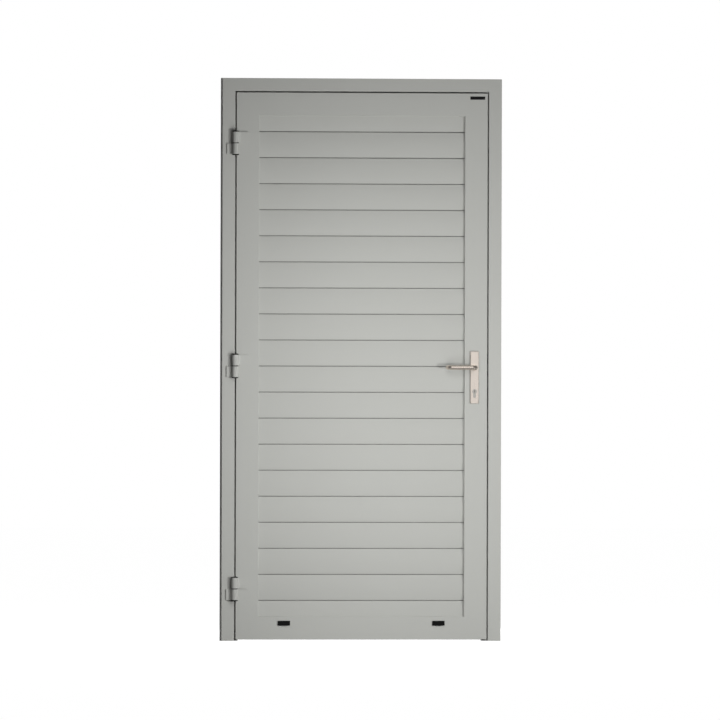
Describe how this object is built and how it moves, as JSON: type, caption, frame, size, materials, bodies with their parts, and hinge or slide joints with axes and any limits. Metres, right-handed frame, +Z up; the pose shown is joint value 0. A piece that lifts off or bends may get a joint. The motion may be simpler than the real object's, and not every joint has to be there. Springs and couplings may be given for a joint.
{
  "type": "utility door",
  "caption": "Hinged metal utility door with a frame, curved horizontal slats, barrel hinges and a lever handle on a narrow plate.",
  "frame": {"origin": "on the hinge jamb's wall face, at the ground, in the middle of the frame's depth", "axes": "+X from the hinge jamb to the lock jamb, +Y into the building, +Z up; the lever side that the picture shows faces -Y"},
  "size_m": [1.085, 0.154, 2.16],
  "materials": {
    "frame_coat": "light warm grey powder coat, satin",
    "slat_coat": "light warm grey powder coat, satin",
    "black_rubber": "black rubber",
    "black_plastic": "matt black plastic",
    "plain_steel": "plain steel",
    "satin_handle": "satin champagne aluminium",
    "cylinder_metal": "satin nickel"
  },
  "bodies": {
    "frame": {"hinge_jamb": "frame_coat", "lock_jamb": "frame_coat", "header": "frame_coat", "frame_seal": "black_rubber", "strike_plate": "plain_steel", "frame_hinges": "frame_coat", "hinge_pins": "plain_steel", "hinge_washers": "black_plastic", "hinge_foot_caps": "black_plastic"},
    "leaf": {"hinge_stile": "frame_coat", "lock_stile": "frame_coat", "top_rail": "frame_coat", "bottom_rail": "frame_coat", "leaf_hinges": "frame_coat", "hinge_head_caps": "black_plastic", "mortise_lock": "plain_steel", "key_cylinder": "cylinder_metal", "outer_plate": "satin_handle", "inner_plate": "satin_handle", "drain_caps": "black_plastic", "bottom_slat": "slat_coat", "slat_01": "slat_coat", "slat_02": "slat_coat", "slat_03": "slat_coat", "slat_04": "slat_coat", "slat_05": "slat_coat", "slat_06": "slat_coat", "slat_07": "slat_coat", "slat_08": "slat_coat", "slat_09": "slat_coat", "slat_10": "slat_coat", "slat_11": "slat_coat", "slat_12": "slat_coat", "slat_13": "slat_coat", "slat_14": "slat_coat", "slat_15": "slat_coat", "slat_16": "slat_coat", "slat_17": "slat_coat", "slat_18": "slat_coat", "top_slat": "slat_coat"},
    "handle": {"outer_lever": "satin_handle", "inner_lever": "satin_handle"}
  },
  "joints": [
    {"name": "leaf_swing", "type": "hinge", "parent": "frame", "child": "leaf", "pos_m": [0.049, -0.0395, 1.055], "axis": [0, 0, -1], "range_deg": [0, 170]},
    {"name": "lever_turn", "type": "hinge", "parent": "leaf", "child": "handle", "pos_m": [0.98, -0.005, 1.051], "axis": [0, -1, 0], "range_deg": [0, 45], "stiffness_Nm_per_rad": 1.5, "springref_deg": -28.65}
  ]
}
